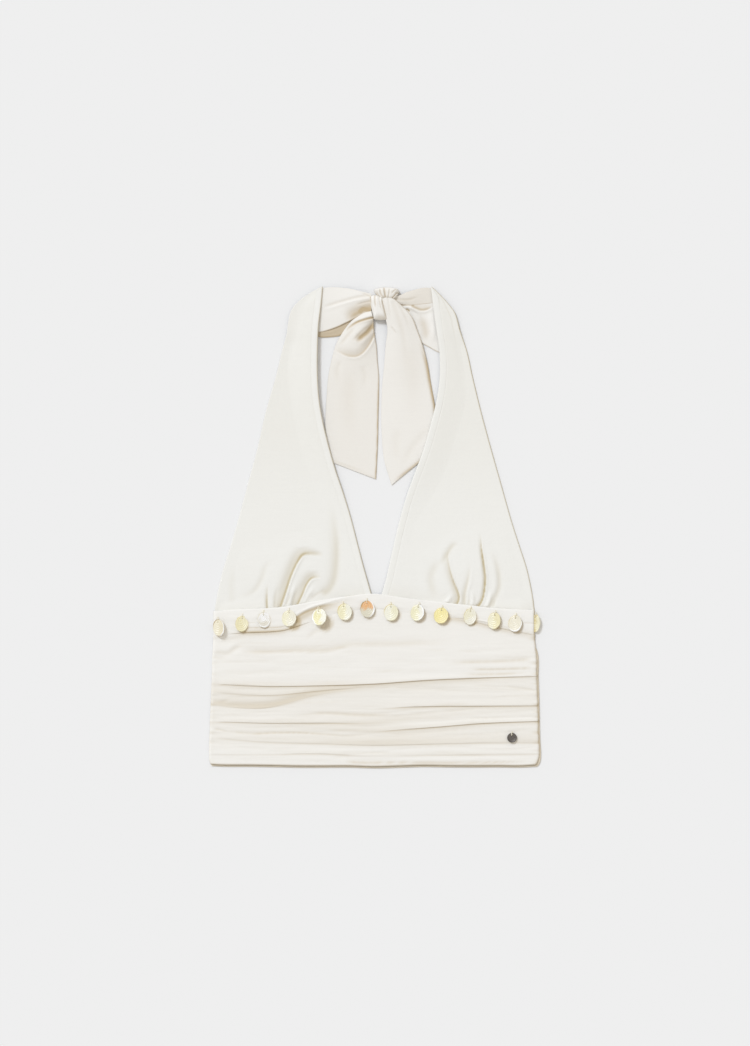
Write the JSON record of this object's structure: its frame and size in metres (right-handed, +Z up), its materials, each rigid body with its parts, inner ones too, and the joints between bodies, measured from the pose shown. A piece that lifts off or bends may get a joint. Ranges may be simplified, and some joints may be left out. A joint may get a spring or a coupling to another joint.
{
  "type": "halter neck top",
  "caption": "Halter neck top laid flat, with gathered cups, a ruched waistband, a shell-hung underbust band and ties bound in a bow.",
  "frame": {"origin": "middle of the part's footprint, on the surface that it lies on", "axes": "+X to the right and +Y from hem to neck as the garment is seen from above, lying face up; +Z up from the surface"},
  "size_m": [0.3406, 0.4934, 0.013],
  "materials": {
    "cup_cloth": "matte off-white slub weave",
    "band_cloth": "matte off-white crinkled weave",
    "tie_cloth": "matte warm white, wrong side of the weave",
    "shell": "polished mother-of-pearl, cream to pale yellow",
    "badge_metal": "dark gunmetal, satin"
  },
  "bodies": {
    "root": {"back_band": "band_cloth", "front_band": "band_cloth", "underbust_band": "band_cloth", "cup_left": "cup_cloth", "neck_binding_left": "cup_cloth", "cup_right": "cup_cloth", "neck_binding_right": "cup_cloth", "tie_left": "tie_cloth", "tie_right": "tie_cloth", "tie_loop_right": "tie_cloth", "tail_left": "tie_cloth", "tail_right": "tie_cloth", "knot_wrap": "tie_cloth", "knot_core": "tie_cloth", "disc_01": "shell", "disc_02": "shell", "disc_03": "shell", "disc_04": "shell", "disc_05": "shell", "disc_06": "shell", "disc_07": "shell", "disc_08": "shell", "disc_09": "shell", "disc_10": "shell", "disc_11": "shell", "disc_12": "shell", "disc_13": "shell", "disc_14": "shell", "badge": "badge_metal"}
  },
  "joints": []
}
